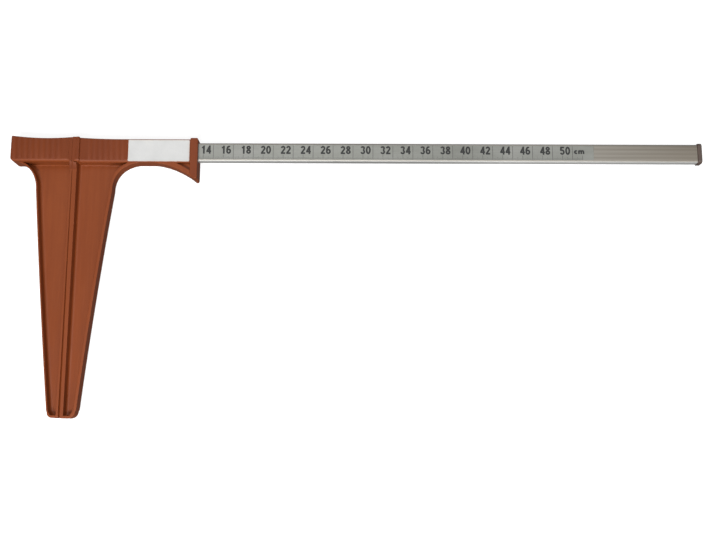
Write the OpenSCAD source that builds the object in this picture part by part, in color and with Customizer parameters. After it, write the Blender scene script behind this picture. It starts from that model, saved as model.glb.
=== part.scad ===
// Sliding caliper with a hollow rule, a fixed jaw and a sleeve-mounted sliding jaw.
// Frame: +X along the rule, -Y towards the jaw tips, +Z out of the graduated face.
// X = 0 is the plane where the closed jaws meet and where the scale starts,
// Y = 0 is the middle of the rule, Z = 0 is the flat back of the heads.

/* [Rule] */
// Opening of the jaws at the far end of the travel
travel = 500; // [400:10:560]
// Width of the rule across its graduated face
rule_w = 19; // [18.5:0.1:19.2]
// Thickness of the rule from back to front
rule_t = 9; // [8:0.25:9.25]
// Wall thickness of the hollow rule
rule_wall = 1.4; // [1.2:0.1:1.6]
// Outside corner radius of the rule section
rule_r = 2; // [1.75:0.05:2.25]
// Width of the printed scale strip
strip_w = 14.8; // [12:0.1:15]
// Length of bare rule between the strip and the end cap
bare_end = 104; // [40:1:140]

/* [Heads] */
// Depth of the fixed head, the collar and the end flange
head_t = 21; // [20.5:0.1:22]
// Depth of the sleeve between collar and flange
sleeve_t = 15; // [14.8:0.1:16]
// Length of the fixed head
fixed_len = 61.2; // [58:0.1:66]
// Length of the sliding sleeve from the contact plane to the flange end
sleeve_len = 125; // [122:0.5:132]
// Distance from the rule centreline to the underside of the heads
head_low = 11.75; // [11.6:0.05:12.2]
// Distance from the rule centreline to the top of the heads
head_high = 12.2; // [12:0.1:12.8]
// Length of the end flange
flange_len = 7.4; // [6.5:0.1:8]
// Length of the collar beside the contact plane
collar_len = 7; // [6:0.1:8]

/* [Jaws] */
// Reach of the fixed jaw below the rule centreline
reach_fixed = 264.2; // [200:0.1:280]
// Reach of the sliding jaw below the rule centreline
reach_slide = 264.5; // [200:0.1:280]
// Width of the fixed jaw at its root
root_fixed = 35; // [32:0.5:38]
// Width of the fixed jaw at its tip
tip_fixed = 11.2; // [10:0.1:16]
// Width of the sliding jaw at its root
root_slide = 41; // [38:0.5:43]
// Width of the sliding jaw at its tip
tip_slide = 16.1; // [14:0.1:20]
// Thickness of the jaws from back to front
jaw_t = 13; // [12:0.1:13.5]
// Thickness of the panel at the back of each jaw
panel_t = 2.5; // [2:0.1:3]
// Width of the raised rim along the measuring edge of the fixed jaw
rim_in_fixed = 2.4; // [2:0.1:4]
// Width of the raised rim along the measuring edge of the sliding jaw
rim_in_slide = 4.6; // [3:0.1:5]
// Width of the raised rim along the outer edge of the fixed jaw
rim_out_fixed = 1.6; // [1.4:0.1:3]
// Width of the raised rim along the outer edge of the sliding jaw
rim_out_slide = 3; // [2.5:0.1:3.5]
// Width of the raised rim across the jaw tips
rim_tip = 2.4; // [2:0.1:3]
// Width and depth of the bevel along the front of the sliding measuring edge
edge_bevel = 1.4; // [0.4:0.1:2]
// Gap between the measuring edges when the caliper is closed
gap = 0.3; // [0.2:0.05:0.6]

/* [Fits] */
// Clearance of the sleeve around the rule
sleeve_clear = 0.35; // [0.3:0.01:0.4]
// Clearance between a glide pad and the rule
pad_clear = 0.08; // [0.05:0.01:0.1]
// Clearance of pieces that are pressed or glued in place
seat_clear = 0.04; // [0.02:0.01:0.08]
// Shank diameter of the self-tapping screws
screw_d = 3; // [2.8:0.1:3.2]

/* [Hidden] */
$fn = 48;

e = 0.01;                               // small overshoot of a cut
g = gap / 2;
zc = head_t / 2;                        // middle plane of rule, sleeve and jaws
rz0 = zc - rule_t / 2;                  // back of the rule
rz1 = zc + rule_t / 2;                  // front of the rule
sz0 = zc - sleeve_t / 2;                // back of the sleeve
sz1 = zc + sleeve_t / 2;                // front of the sleeve
jz0 = zc - jaw_t / 2;                   // back of the jaws
jz1 = zc + jaw_t / 2;                   // front of the jaws
pz1 = jz0 + panel_t;                    // floor of the jaw trays
rule_x0 = -57;                          // rule end inside the fixed head
rule_x1 = sleeve_len + travel + 0.3;    // rule end at the cap
strip_x0 = -20;
strip_x1 = rule_x1 - bare_end;
strip_deep = 0.4;                       // recess for the strip
strip_t = 0.25;
wall_top = head_t - 0.7;                // top of the wall beside the contact plane
wall_w = 3.4;                           // width of that wall on the heads
flange_x = sleeve_len - flange_len;
screw_x = [-51, -32, -13];              // self-tapping screws in the fixed head
screw_head_z = 2.7;                     // seat of the screw heads
pad_len = 18;
pad_left = 3.6;                         // start of the left pads
pad_right = flange_x - pad_len - 4;     // start of the right pads
edge_y = rule_w / 2;
pad_z = 4.6;                            // width of the edge pads
face_pad_y = 7.9;                       // half width of the face pads
upper_pad_top = edge_y + sleeve_clear + 1.2;
low_pad_left = edge_y + sleeve_clear + 0.65;
low_pad_right = edge_y + sleeve_clear + 1.1;
up_pad_right = edge_y + sleeve_clear + 1.0;
face_pocket = 1.2;
adj_up_x = 5.6;
adj_low_x = 100;
adj_d = 4;

// ---- outlines -------------------------------------------------------------

// corner arc of a section
function arc(cx, cy, r, a0, n = 6) =
    [for (i = [0:n]) [cx + r * cos(a0 + 90 * i / n), cy + r * sin(a0 + 90 * i / n)]];

// rounded rectangle, centred
function rounded(w, h, r, n = 6) = concat(
    arc(w / 2 - r, h / 2 - r, r, 0, n), arc(-w / 2 + r, h / 2 - r, r, 90, n),
    arc(-w / 2 + r, -h / 2 + r, r, 180, n), arc(w / 2 - r, -h / 2 + r, r, 270, n));

// quarter of a superellipse from (cx - a, cy) up to (cx, cy + b), up to angle top
function quarter(cx, cy, a, b, n, steps = 16, top = 90) =
    [for (i = [0:steps]) let (u = top * i / steps)
        [cx - a * pow(cos(u), 2 / n), cy + b * pow(sin(u), 2 / n)]];

// outer edge of a jaw from just above the tip corner up to the root fillet,
// moved towards the measuring edge by inset
function outer_edge(root, tip, bow, y_root, y_tip, inset, steps = 12) =
    [for (i = [steps:-1:1]) let (t = i / steps)
        [root + (tip - root) * t + bow * 4 * t * (1 - t) - inset, y_root + (y_tip - y_root) * t]];

// underside of the sleeve behind the finger space, a shallow parabola
flare_k = 0.008;
flare_x0 = 76;
function flare_y(x) = -head_low - flare_k * pow(max(0, x - flare_x0), 2);

// saddle along the top of the fixed head
function saddle_y(x) = head_high + 0.0019 * pow(x + 25, 2);

// falling line along the top of the sleeve
function sleeve_top(x) = head_high + 0.0008 * pow(max(0, 48 - x), 2);

fil_b = 28.3;                           // height of the root fillets
fil_y = -head_low - fil_b;              // lower end of the root fillets
fil_fixed = 22;                         // length of the fixed root fillet
fil_slide = flare_x0 - 4 - root_slide;  // length of the sliding root fillet
fil_n = 2.25;                           // squareness of the sliding root fillet
corner_f = 5;
corner_s = 6.5;
corner_i = 1.2;

// plan of the fixed jaw below the head, measuring edge on +X side
function plan_fixed() = concat(
    [[-g, -head_low + 1], [-g, -reach_fixed + corner_i], [-g - corner_i, -reach_fixed]],
    [for (i = [0:6]) let (a = 270 - 90 * i / 6)
        [-tip_fixed + corner_f + corner_f * cos(a), -reach_fixed + corner_f + corner_f * sin(a)]],
    [for (p = outer_edge(root_fixed, tip_fixed + 0.7, 0.7, fil_y, -reach_fixed + corner_f + 2, 0)) [-p[0], p[1]]],
    [for (p = quarter(root_fixed + fil_fixed, fil_y, fil_fixed, fil_b, 2)) [-p[0], p[1]]],
    [[-root_fixed - fil_fixed, -head_low + 1]]);

// tray of the fixed jaw
function tray_fixed() = concat(
    [[-rim_in_fixed - g, -head_low], [-rim_in_fixed - g, -reach_fixed + rim_tip],
     [-tip_fixed + rim_out_fixed + 2, -reach_fixed + rim_tip],
     [-tip_fixed + rim_out_fixed, -reach_fixed + rim_tip + 3]],
    [for (p = outer_edge(root_fixed, tip_fixed + 0.7, 0.7, fil_y, -reach_fixed + corner_f + 2, rim_out_fixed))
        [-p[0], p[1]]],
    [for (p = quarter(root_fixed + fil_fixed, fil_y, fil_fixed + rim_out_fixed, fil_b + rim_out_fixed, 2, 12,
        asin(fil_b / (fil_b + rim_out_fixed)))) [-p[0], p[1]]]);

// plan of the sliding jaw and of the flare under its sleeve
function plan_slide() = concat(
    [[g, -head_low + 1], [g, -reach_slide + corner_i], [g + corner_i, -reach_slide]],
    [for (i = [0:6]) let (a = 270 + 90 * i / 6)
        [tip_slide - corner_s + corner_s * cos(a), -reach_slide + corner_s + corner_s * sin(a)]],
    [for (p = outer_edge(root_slide, tip_slide + 0.9, -1.2, fil_y, -reach_slide + corner_s + 2, 0)) p],
    quarter(root_slide + fil_slide, fil_y, fil_slide, fil_b, fil_n),
    [for (i = [0:20]) let (x = flare_x0 + (sleeve_len - flare_x0) * i / 20) [x, flare_y(x)]],
    [[sleeve_len, -head_low + 1]]);

// tray of the sliding jaw
slide_top_u = asin(pow(fil_b / (fil_b + rim_out_slide), fil_n / 2));
function tray_slide() = concat(
    [[rim_in_slide + g, -head_low], [rim_in_slide + g, -reach_slide + rim_tip],
     [tip_slide - rim_out_slide - 2.4, -reach_slide + rim_tip],
     [tip_slide - rim_out_slide, -reach_slide + rim_tip + 3.6]],
    [for (p = outer_edge(root_slide, tip_slide + 0.9, -1.2, fil_y, -reach_slide + corner_s + 2, rim_out_slide)) p],
    quarter(root_slide + fil_slide, fil_y, fil_slide + rim_out_slide, fil_b + rim_out_slide, fil_n, 12,
        slide_top_u));

// pocket in the flare, between its rim and the end flange
flare_rim = 5.6;
pocket_top = head_low + 0.6;
pocket_x0 = flare_x0 + sqrt((flare_rim + pocket_top - head_low) / flare_k) + 1;
function flare_pocket() = concat(
    [for (i = [0:8]) let (x = pocket_x0 + (flange_x - pocket_x0) * i / 8)
        [x, min(-pocket_top - e * 10, flare_y(x) + flare_rim)]],
    [[flange_x, -pocket_top], [pocket_x0, -pocket_top]]);

// ---- building blocks ------------------------------------------------------

// a section in the Y-Z plane, centred on the rule, drawn from x0 to x1
module along_x(x0, x1, points)
    translate([x0, 0, zc]) rotate([90, 0, 90]) linear_extrude(height = x1 - x0) polygon(points);

// a plan in the X-Y plane, drawn from z0 to z1
module plate(z0, z1, points)
    translate([0, 0, z0]) linear_extrude(height = z1 - z0) polygon(points);

module block(x0, x1, y0, y1, z0, z1)
    translate([x0, y0, z0]) cube([x1 - x0, y1 - y0, z1 - z0]);

// ramp of the measuring-edge wall from the head down to the jaw rim, front and back
module wall_ramp(x0, x1)
    translate([x0, 0, 0]) rotate([90, 0, 90]) linear_extrude(height = x1 - x0)
        polygon([[-head_low + 1, 0.6], [-head_low, 0.6], [-20, jz0], [-20, jz1],
                 [-head_low, wall_top], [-head_low + 1, wall_top]]);

// slotted grub screw along Y with its tip at y0 and its slot end at y1
module grub(x, y0, y1) {
    s = y1 > y0 ? 1 : -1;
    difference() {
        translate([x, y0, zc]) rotate([s > 0 ? -90 : 90, 0, 0])
            cylinder(d = adj_d - 2 * seat_clear, h = abs(y1 - y0));
        block(x - 0.35, x + 0.35, min(y1 - s * 0.9, y1 + s), max(y1 - s * 0.9, y1 + s),
              zc - adj_d, zc + adj_d);
    }
}

// ---- fixed side -----------------------------------------------------------

module rule_beam() {
    color([0.70, 0.69, 0.66])
    difference() {
        along_x(rule_x0, rule_x1, rounded(rule_w, rule_t, rule_r));
        along_x(rule_x0 - 1, rule_x1 + 1,
            rounded(rule_w - 2 * rule_wall, rule_t - 2 * rule_wall, rule_r - rule_wall + 0.2));
        block(strip_x0, strip_x1, -strip_w / 2, strip_w / 2, rz1 - strip_deep, rz1 + 1);
        for (x = screw_x) translate([x, 0, rz0 - 1]) cylinder(d = screw_d + 0.2, h = rule_wall + 2);
    }
}

module scale_strip() {
    color([0.60, 0.61, 0.57])
    block(strip_x0 + seat_clear, strip_x1 - seat_clear, -strip_w / 2 + seat_clear,
          strip_w / 2 - seat_clear, rz1 - strip_deep, rz1 - strip_deep + strip_t);
}

// solid core that the screws of the fixed jaw bite into
module rule_core_plug() {
    color([0.25, 0.25, 0.26])
    difference() {
        along_x(rule_x0 + 0.5, -4, rounded(rule_w - 2 * rule_wall - 2 * seat_clear,
            rule_t - 2 * rule_wall - 2 * seat_clear, rule_r - rule_wall + 0.2));
        for (x = screw_x) translate([x, 0, rz0]) cylinder(d = screw_d + 2 * seat_clear, h = rule_t - rule_wall - 1);
    }
}

module fixed_jaw() {
    color([0.60, 0.27, 0.13])
    difference() {
        union() {
            // head with a saddle for the hand along its top
            plate(0, wall_top, concat([[-g, -head_low], [-g, saddle_y(-g)]],
                [for (i = [1:16]) let (x = -g - (fixed_len - g) * i / 16) [x, saddle_y(x)]],
                [[-fixed_len, -head_low]]));
            plate(wall_top - 1, head_t, concat([[-g - wall_w, -head_low], [-g - wall_w, saddle_y(-g - wall_w)]],
                [for (i = [1:16]) let (x = -g - wall_w - (fixed_len - g - wall_w) * i / 16) [x, saddle_y(x)]],
                [[-fixed_len, -head_low]]));
            plate(jz0, jz1, plan_fixed());
            wall_ramp(-g - rim_in_fixed, -g);
        }
        // open tray of the jaw
        plate(pz1, head_t, tray_fixed());
        // socket for the rule
        along_x(rule_x0 - seat_clear, 1, rounded(rule_w + 2 * seat_clear, rule_t + 2 * seat_clear, rule_r + seat_clear));
        // relief in front of the rule
        block(-54, -wall_w - 3, -6.5, 6.5, rz1 - 1, head_t - 2.6);
        // moulded pockets between the screw pads on the back
        for (x = [-46.8, -40.6, -27.9, -21.7, -8.9])
            block(x, x + 4.6, -head_low + 2.4, head_high - 2.4, -1, 3.2);
        // screw holes with sunk seats
        for (x = screw_x) translate([x, 0, -1]) {
            cylinder(d = screw_d + 0.3, h = rz0 + 2);
            cylinder(d = 7, h = screw_head_z + 1);
        }
    }
}

module fixed_jaw_screws() {
    color([0.62, 0.62, 0.60])
    for (x = screw_x) translate([x, 0, 0]) difference() {
        union() {
            translate([0, 0, 0.5]) cylinder(d1 = 5.2, d2 = 6.2, h = 0.7);
            translate([0, 0, 1.2]) cylinder(d = 6.2, h = screw_head_z - 1.2);
            translate([0, 0, screw_head_z - e]) cylinder(d = screw_d, h = 9 - screw_head_z + e);
            translate([0, 0, 9]) cylinder(d1 = screw_d, d2 = 0.6, h = 2.4);
        }
        block(-1.7, 1.7, -0.4, 0.4, 0, 1.4);
        block(-0.4, 0.4, -1.7, 1.7, 0, 1.4);
    }
}

module end_cap() {
    color([0.30, 0.20, 0.17])
    difference() {
        union() {
            along_x(rule_x1, rule_x1 + 4.4, rounded(rule_w + 1.6, rule_t + 3, 2.6));
            along_x(rule_x1 - 18, rule_x1 + 1, rounded(rule_w - 2 * rule_wall - 2 * seat_clear,
                rule_t - 2 * rule_wall - 2 * seat_clear, rule_r - rule_wall + 0.2));
        }
        // hollow spigot
        block(rule_x1 - 19, rule_x1 - 1, -rule_w / 2 + rule_wall + 1.7, rule_w / 2 - rule_wall - 1.7,
              rz0 + rule_wall + 1.5, rz1 - rule_wall - 1.5);
    }
}

// ---- sliding side ---------------------------------------------------------

module sliding_jaw() {
    color([0.62, 0.29, 0.14])
    difference() {
        union() {
            // sleeve between collar and flange
            plate(sz0, sz1, concat([[g, -head_low]], [[flange_x + 1, -head_low], [flange_x + 1, head_high]],
                [for (i = [0:12]) let (x = flange_x - (flange_x - g) * i / 12) [x, sleeve_top(x)]]));
            // wall beside the contact plane, and the collar
            block(g, wall_w + g + 1, -head_low, head_high + 1.5, 0.6, wall_top);
            block(wall_w + g, collar_len, -head_low, head_high + 1.6, 0, head_t);
            wall_ramp(g, g + rim_in_slide);
            // jaw and flare
            plate(jz0, jz1, plan_slide());
            // end flange down to the tip of the flare
            plate(0, head_t, concat([for (i = [0:4]) let (x = flange_x + flange_len * i / 4) [x, flare_y(x)]],
                [[sleeve_len, head_high + 0.6], [flange_x, head_high + 0.6]]));
        }
        // open tray of the jaw
        plate(pz1, jz1 + 0.5, tray_slide());
        // pockets of the flare, front and back of its web
        plate(zc + 1.5, jz1 + 1, flare_pocket());
        plate(jz0 - 1, zc - 1.5, flare_pocket());
        // bevel along the front of the measuring edge
        translate([0, -20, 0]) rotate([90, 0, 0]) linear_extrude(height = reach_slide)
            polygon([[-1, jz1 - edge_bevel - 1], [g + edge_bevel + 1, jz1 + 1], [-1, jz1 + 1]]);
        // passage for the rule
        along_x(-1, sleeve_len + 1, rounded(rule_w + 2 * sleeve_clear, rule_t + 2 * sleeve_clear, rule_r + sleeve_clear));
        // seats of the edge pads
        block(pad_left, pad_left + pad_len, 0, upper_pad_top, zc - pad_z / 2, zc + pad_z / 2);
        block(pad_left, pad_left + pad_len, -low_pad_left, 0, zc - pad_z / 2, zc + pad_z / 2);
        block(pad_right, pad_right + pad_len, 0, up_pad_right, zc - pad_z / 2, zc + pad_z / 2);
        block(pad_right, pad_right + pad_len, -low_pad_right, 0, zc - pad_z / 2, zc + pad_z / 2);
        // seats of the face pads
        for (x = [pad_left, pad_right])
            block(x, x + pad_len, -face_pad_y, face_pad_y,
                  rz0 - sleeve_clear - face_pocket, rz1 + sleeve_clear + face_pocket);
        // tapped holes of the adjusting screws
        translate([adj_up_x, upper_pad_top - 0.5, zc]) rotate([-90, 0, 0]) cylinder(d = adj_d, h = 5);
        translate([adj_low_x, -low_pad_right + 0.5, zc]) rotate([90, 0, 0]) cylinder(d = adj_d, h = 9);
    }
}

// edge pad that fills its seat up to the rule, from y0 to y1
module edge_pad(x, y0, y1)
    color([0.90, 0.89, 0.85])
    block(x + seat_clear, x + pad_len - seat_clear, y0, y1,
          zc - pad_z / 2 + seat_clear, zc + pad_z / 2 - seat_clear);

module upper_left_pad() edge_pad(pad_left, edge_y + pad_clear, upper_pad_top - seat_clear);
module lower_left_pad() edge_pad(pad_left, -low_pad_left + seat_clear, -edge_y - pad_clear);
module upper_right_pad() edge_pad(pad_right, edge_y + pad_clear, up_pad_right - seat_clear);
module lower_right_pad() edge_pad(pad_right, -low_pad_right + seat_clear, -edge_y - pad_clear);

module front_pads() {
    color([0.90, 0.89, 0.85])
    for (x = [pad_left, pad_right])
        block(x + seat_clear, x + pad_len - seat_clear, -face_pad_y + seat_clear, face_pad_y - seat_clear,
              rz1 + pad_clear, rz1 + sleeve_clear + face_pocket - seat_clear);
}

module rear_pads() {
    color([0.90, 0.89, 0.85])
    for (x = [pad_left, pad_right])
        block(x + seat_clear, x + pad_len - seat_clear, -face_pad_y + seat_clear, face_pad_y - seat_clear,
              rz0 - sleeve_clear - face_pocket + seat_clear, rz0 - pad_clear);
}

module upper_adjusting_screw() {
    color([0.55, 0.55, 0.54])
    grub(adj_up_x, upper_pad_top, head_high + 1.3);
}

module lower_adjusting_screw() {
    color([0.55, 0.55, 0.54])
    grub(adj_low_x, -low_pad_right, flare_y(adj_low_x) + 1.2);
}

module label_sticker() {
    color([0.93, 0.93, 0.92])
    block(55.4, 116.6, -head_low + 0.9, head_high - 0.9, sz1, sz1 + 0.15);
}

rule_beam();
scale_strip();
rule_core_plug();
fixed_jaw();
fixed_jaw_screws();
end_cap();
sliding_jaw();
upper_left_pad();
lower_left_pad();
upper_right_pad();
lower_right_pad();
front_pads();
rear_pads();
upper_adjusting_screw();
lower_adjusting_screw();
label_sticker();
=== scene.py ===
import math

import bmesh
import bpy
from mathutils import Matrix, Quaternion, Vector


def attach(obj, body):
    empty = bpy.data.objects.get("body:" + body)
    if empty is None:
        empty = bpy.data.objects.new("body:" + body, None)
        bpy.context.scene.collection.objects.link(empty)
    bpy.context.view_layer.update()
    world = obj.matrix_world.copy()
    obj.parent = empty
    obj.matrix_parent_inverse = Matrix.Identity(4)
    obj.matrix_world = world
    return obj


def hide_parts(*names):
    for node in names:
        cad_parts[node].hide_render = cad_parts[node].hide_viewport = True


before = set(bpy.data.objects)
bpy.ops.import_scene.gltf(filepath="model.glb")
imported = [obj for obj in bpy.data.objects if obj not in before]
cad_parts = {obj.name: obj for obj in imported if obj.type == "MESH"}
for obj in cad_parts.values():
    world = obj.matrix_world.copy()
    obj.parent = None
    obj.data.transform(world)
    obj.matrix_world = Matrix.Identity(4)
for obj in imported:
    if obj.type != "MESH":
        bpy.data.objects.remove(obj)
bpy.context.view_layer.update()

MM = 0.001
TAU = 2 * math.pi

# ---- sizes of the CAD model, in millimetres ---------------------------------

G = 0.07                      # half of the gap between the closed jaws, 0.15 in the CAD model
ZC = 10.5                     # middle plane of rule, sleeve and jaws
HEAD_T, WALL_TOP = 21.0, 20.3
SZ0, SZ1 = 3.0, 18.0          # sleeve
JZ0, JZ1, PZ1 = 4.0, 17.0, 6.5  # jaws and the floor of their trays
RZ0, RZ1 = 6.0, 15.0          # rule
LOW, HIGH = 11.75, 12.2       # underside and top of the heads
RULE_X0, RULE_X1 = -57.0, 625.3
STRIP_X0, STRIP_X1 = -20.0, 521.3
SLEEVE_LEN, FLANGE_X = 125.0, 117.6
COLLAR = 7.0
WALL_W, EDGE_BEVEL = 3.4, 1.4
RIM_IN_F, RIM_IN_S, RIM_OUT_F, RIM_OUT_S, RIM_TIP = 2.4, 4.6, 1.6, 3.0, 2.4
REACH_F, REACH_S = 264.2, 264.5
ROOT_F, TIP_F, ROOT_S, TIP_S = 35.0, 11.2, 41.0, 16.1
FIL_B = 28.3
FIL_Y = -LOW - FIL_B
FIL_F, FIL_S, FIL_N = 22.0, 31.0, 2.25
FLARE_X0, FLARE_K, FLARE_RIM = 76.0, 0.008, 5.6
SCREW_X = (-51.0, -32.0, -13.0)

# ---- outlines ----------------------------------------------------------------


def arc(cx, cy, r, a0, a1, n):
    return [(cx + r * math.cos(math.radians(a0 + (a1 - a0) * i / n)),
             cy + r * math.sin(math.radians(a0 + (a1 - a0) * i / n))) for i in range(n + 1)]


def rounded(w, h, r, n=8):
    return (arc(w / 2 - r, h / 2 - r, r, 0, 90, n) + arc(-w / 2 + r, h / 2 - r, r, 90, 180, n)
            + arc(-w / 2 + r, -h / 2 + r, r, 180, 270, n) + arc(w / 2 - r, -h / 2 + r, r, 270, 360, n))


def rect(x0, x1, y0, y1):
    return [(x0, y0), (x1, y0), (x1, y1), (x0, y1)]


def quarter(cx, cy, a, b, n, steps=40, top=90.0):
    return [(cx - a * max(0.0, math.cos(math.radians(top * i / steps))) ** (2 / n),
             cy + b * math.sin(math.radians(top * i / steps)) ** (2 / n)) for i in range(steps + 1)]


def outer_edge(root, tip, bow, y_root, y_tip, inset, steps=26):
    return [(root + (tip - root) * t + bow * 4 * t * (1 - t) - inset, y_root + (y_tip - y_root) * t)
            for t in (i / steps for i in range(steps, 0, -1))]


def flare_y(x):
    return -LOW - FLARE_K * max(0.0, x - FLARE_X0) ** 2


def saddle_y(x):
    return HIGH + 0.0019 * (x + 25) ** 2


def sleeve_top(x):
    return HIGH + 0.0008 * max(0.0, 48 - x) ** 2


def mirrored(pts):
    return [(-x, y) for x, y in pts]


def run_on(pts, y):
    """The point where the last segment of pts, drawn on, reaches y."""
    (ax, ay), (bx, by) = pts[-2], pts[-1]
    return (bx + (bx - ax) * (y - by) / (by - ay), y)


def into_head(pts, r=4.0):
    """Bends the end of an outline up, so that it points straight into the head."""
    (ax, ay), (bx, by) = pts[-2], pts[-1]
    a = math.atan2(by - ay, bx - ax)
    cx, cy = bx - r * math.sin(a), by + r * math.cos(a)
    turn = [a + (math.pi / 2 - a) * i / 6 for i in range(1, 7)]
    pts = pts + [(cx + r * math.sin(t), cy - r * math.cos(t)) for t in turn]
    return pts + [(pts[-1][0], -LOW + 9)]


def plan_fixed():
    c = 5.0
    pts = [(-G - 0.5, -LOW + 2), (-G - 0.5, -LOW - 0.6), (-G, -LOW - 0.6), (-G, -REACH_F + 1.2), (-G - 1.2, -REACH_F)]
    pts += [(-TIP_F + c + c * math.cos(a), -REACH_F + c + c * math.sin(a))
            for a in (math.radians(270 - 90 * i / 12) for i in range(13))]
    pts += mirrored(outer_edge(ROOT_F, TIP_F + 0.7, 0.7, FIL_Y, -REACH_F + c + 2, 0))
    fil = quarter(ROOT_F + FIL_F, FIL_Y, FIL_F, FIL_B, 2, 40, 80)
    fil.append(run_on(fil, -LOW + 0.6))
    return pts + mirrored(fil) + [(-fil[-1][0], -LOW + 2)]


def tray_fixed():
    c, r = 5.0, RIM_OUT_F
    top = math.degrees(math.asin(FIL_B / (FIL_B + r)))
    pts = [(-RIM_IN_F - G, -LOW + 9), (-RIM_IN_F - G, -REACH_F + RIM_TIP),
           (-TIP_F + r + 2, -REACH_F + RIM_TIP), (-TIP_F + r, -REACH_F + RIM_TIP + 3)]
    pts += mirrored(outer_edge(ROOT_F, TIP_F + 0.7, 0.7, FIL_Y, -REACH_F + c + 2, r))
    return pts + mirrored(into_head(quarter(ROOT_F + FIL_F, FIL_Y, FIL_F + r, FIL_B + r, 2, 30, top)))


def plan_slide():
    c = 6.5
    pts = [(G + 0.5, -LOW + 2), (G + 0.5, -LOW - 0.6), (G, -LOW - 0.6), (G, -REACH_S + 1.2), (G + 1.2, -REACH_S)]
    pts += [(TIP_S - c + c * math.cos(a), -REACH_S + c + c * math.sin(a))
            for a in (math.radians(270 + 90 * i / 14) for i in range(15))]
    pts += outer_edge(ROOT_S, TIP_S + 0.9, -1.2, FIL_Y, -REACH_S + c + 2, 0)
    fil = quarter(ROOT_S + FIL_S, FIL_Y, FIL_S, FIL_B, FIL_N, 40, 77)
    pts += fil + [run_on(fil, -LOW + 0.6)]
    flare = [(x, flare_y(x)) for x in (FLANGE_X + 4.9 - (FLANGE_X + 4.9 - 83.5) * i / 36 for i in range(37))]
    flare.append(run_on(flare, -LOW + 0.6))
    return pts + flare[::-1] + [(FLANGE_X + 4.9, -LOW + 2)]


def tray_slide():
    c, r = 6.5, RIM_OUT_S
    top = math.degrees(math.asin((FIL_B / (FIL_B + r)) ** (FIL_N / 2)))
    pts = [(RIM_IN_S + G, -LOW + 9), (RIM_IN_S + G, -REACH_S + RIM_TIP),
           (TIP_S - r - 2.4, -REACH_S + RIM_TIP), (TIP_S - r, -REACH_S + RIM_TIP + 3.6)]
    pts += outer_edge(ROOT_S, TIP_S + 0.9, -1.2, FIL_Y, -REACH_S + c + 2, r)
    return pts + into_head(quarter(ROOT_S + FIL_S, FIL_Y, FIL_S + r, FIL_B + r, FIL_N, 30, top))


def flare_pocket():
    x0 = 104.6
    pts = [(x, flare_y(x) + FLARE_RIM) for x in (FLANGE_X + 1 - (FLANGE_X + 1 - x0) * i / 12 for i in range(13))]
    pts.append(run_on(pts, -LOW + 1.2))
    return pts[::-1] + [(FLANGE_X + 1, -LOW + 1.2)]


def fillet(pts, radius, n=4, turn=30.0):
    """Rounds the corners of an outline that turn by more than turn degrees."""
    out, m = [], len(pts)
    for i in range(m):
        a, b, c = Vector(pts[i - 1]), Vector(pts[i]), Vector(pts[(i + 1) % m])
        r = radius(b) if callable(radius) else radius
        lu, lv = (a - b).length, (c - b).length
        if min(lu, lv) < 1e-6:
            continue
        u, v = (a - b) / lu, (c - b) / lv
        ang = math.acos(max(-1.0, min(1.0, u.dot(v))))
        if r <= 0 or 180 - math.degrees(ang) < turn:
            out.append((b.x, b.y))
            continue
        t = min(r / math.tan(ang / 2), 0.45 * lu, 0.45 * lv)
        rr = t * math.tan(ang / 2)
        mid = b + (u + v).normalized() * (rr / math.sin(ang / 2))
        p, q = b + u * t - mid, b + v * t - mid
        a0 = math.atan2(p.y, p.x)
        d = (math.atan2(q.y, q.x) - a0 + math.pi) % TAU - math.pi
        out += [(mid.x + rr * math.cos(a0 + d * k / n), mid.y + rr * math.sin(a0 + d * k / n)) for k in range(n + 1)]
    return out


def offset(pts, d, weight=None):
    """Moves each side of a counter-clockwise outline inwards by d, times its own weight."""
    n, sides, out = len(pts), [], []
    for i in range(n):
        a, b = Vector(pts[i]), Vector(pts[(i + 1) % n])
        t = (b - a).normalized()
        k = d * (weight(a, b) if weight else 1.0)
        sides.append((a + Vector((-t.y, t.x)) * k, t, k))
    for i in range(n):
        (p, t, k0), (q, u, k1) = sides[i - 1], sides[i]
        den = t.x * u.y - t.y * u.x
        if abs(den) < 0.02:
            m = (t + u).normalized()
            v = Vector(pts[i]) + Vector((-m.y, m.x)) * ((k0 + k1) / 2)
        else:
            w = q - p
            v = p + t * ((w.x * u.y - w.y * u.x) / den)
        out.append((v.x, v.y))
    return out


def steps(lo, hi, r_lo, r_hi, n=4):
    """Heights and insets of a slab between lo and hi with rounded edges."""
    out = []
    for h, r, s in ((lo, r_lo, 1), (hi, r_hi, -1)):
        part = [(h, 0.0)]
        if r > 0:
            part = [(h + s * r * (1 - math.cos(f)), r * (1 - math.sin(f)))
                    for f in (math.pi / 2 * i / n for i in range(n + 1))]
        out += part[::s]
    return out


def open_steps(lo, top, r_lo, r_top, n=4):
    """The same for a hollow that is open at the top: a fillet round its floor, a rounded rim."""
    out = [(lo + r_lo * (1 - math.cos(f)), r_lo * (1 - math.sin(f))) for f in (math.pi / 2 * i / n for i in range(n + 1))]
    out += [(top + 0.01 - r_top + r_top * math.sin(f), -r_top * (1 - math.cos(f)))
            for f in (math.pi / 2 * i / n for i in range(n + 1))]
    return out + [(top + 2, -r_top)]


# ---- mesh building blocks, all in millimetres until finished -----------------

WORK = bpy.data.collections.new("work")
bpy.context.scene.collection.children.link(WORK)


def make(verts, faces, name="w"):
    me = bpy.data.meshes.new(name)
    me.from_pydata([tuple(v) for v in verts], [], faces)
    me.update()
    o = bpy.data.objects.new(name, me)
    WORK.objects.link(o)
    return o


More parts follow.
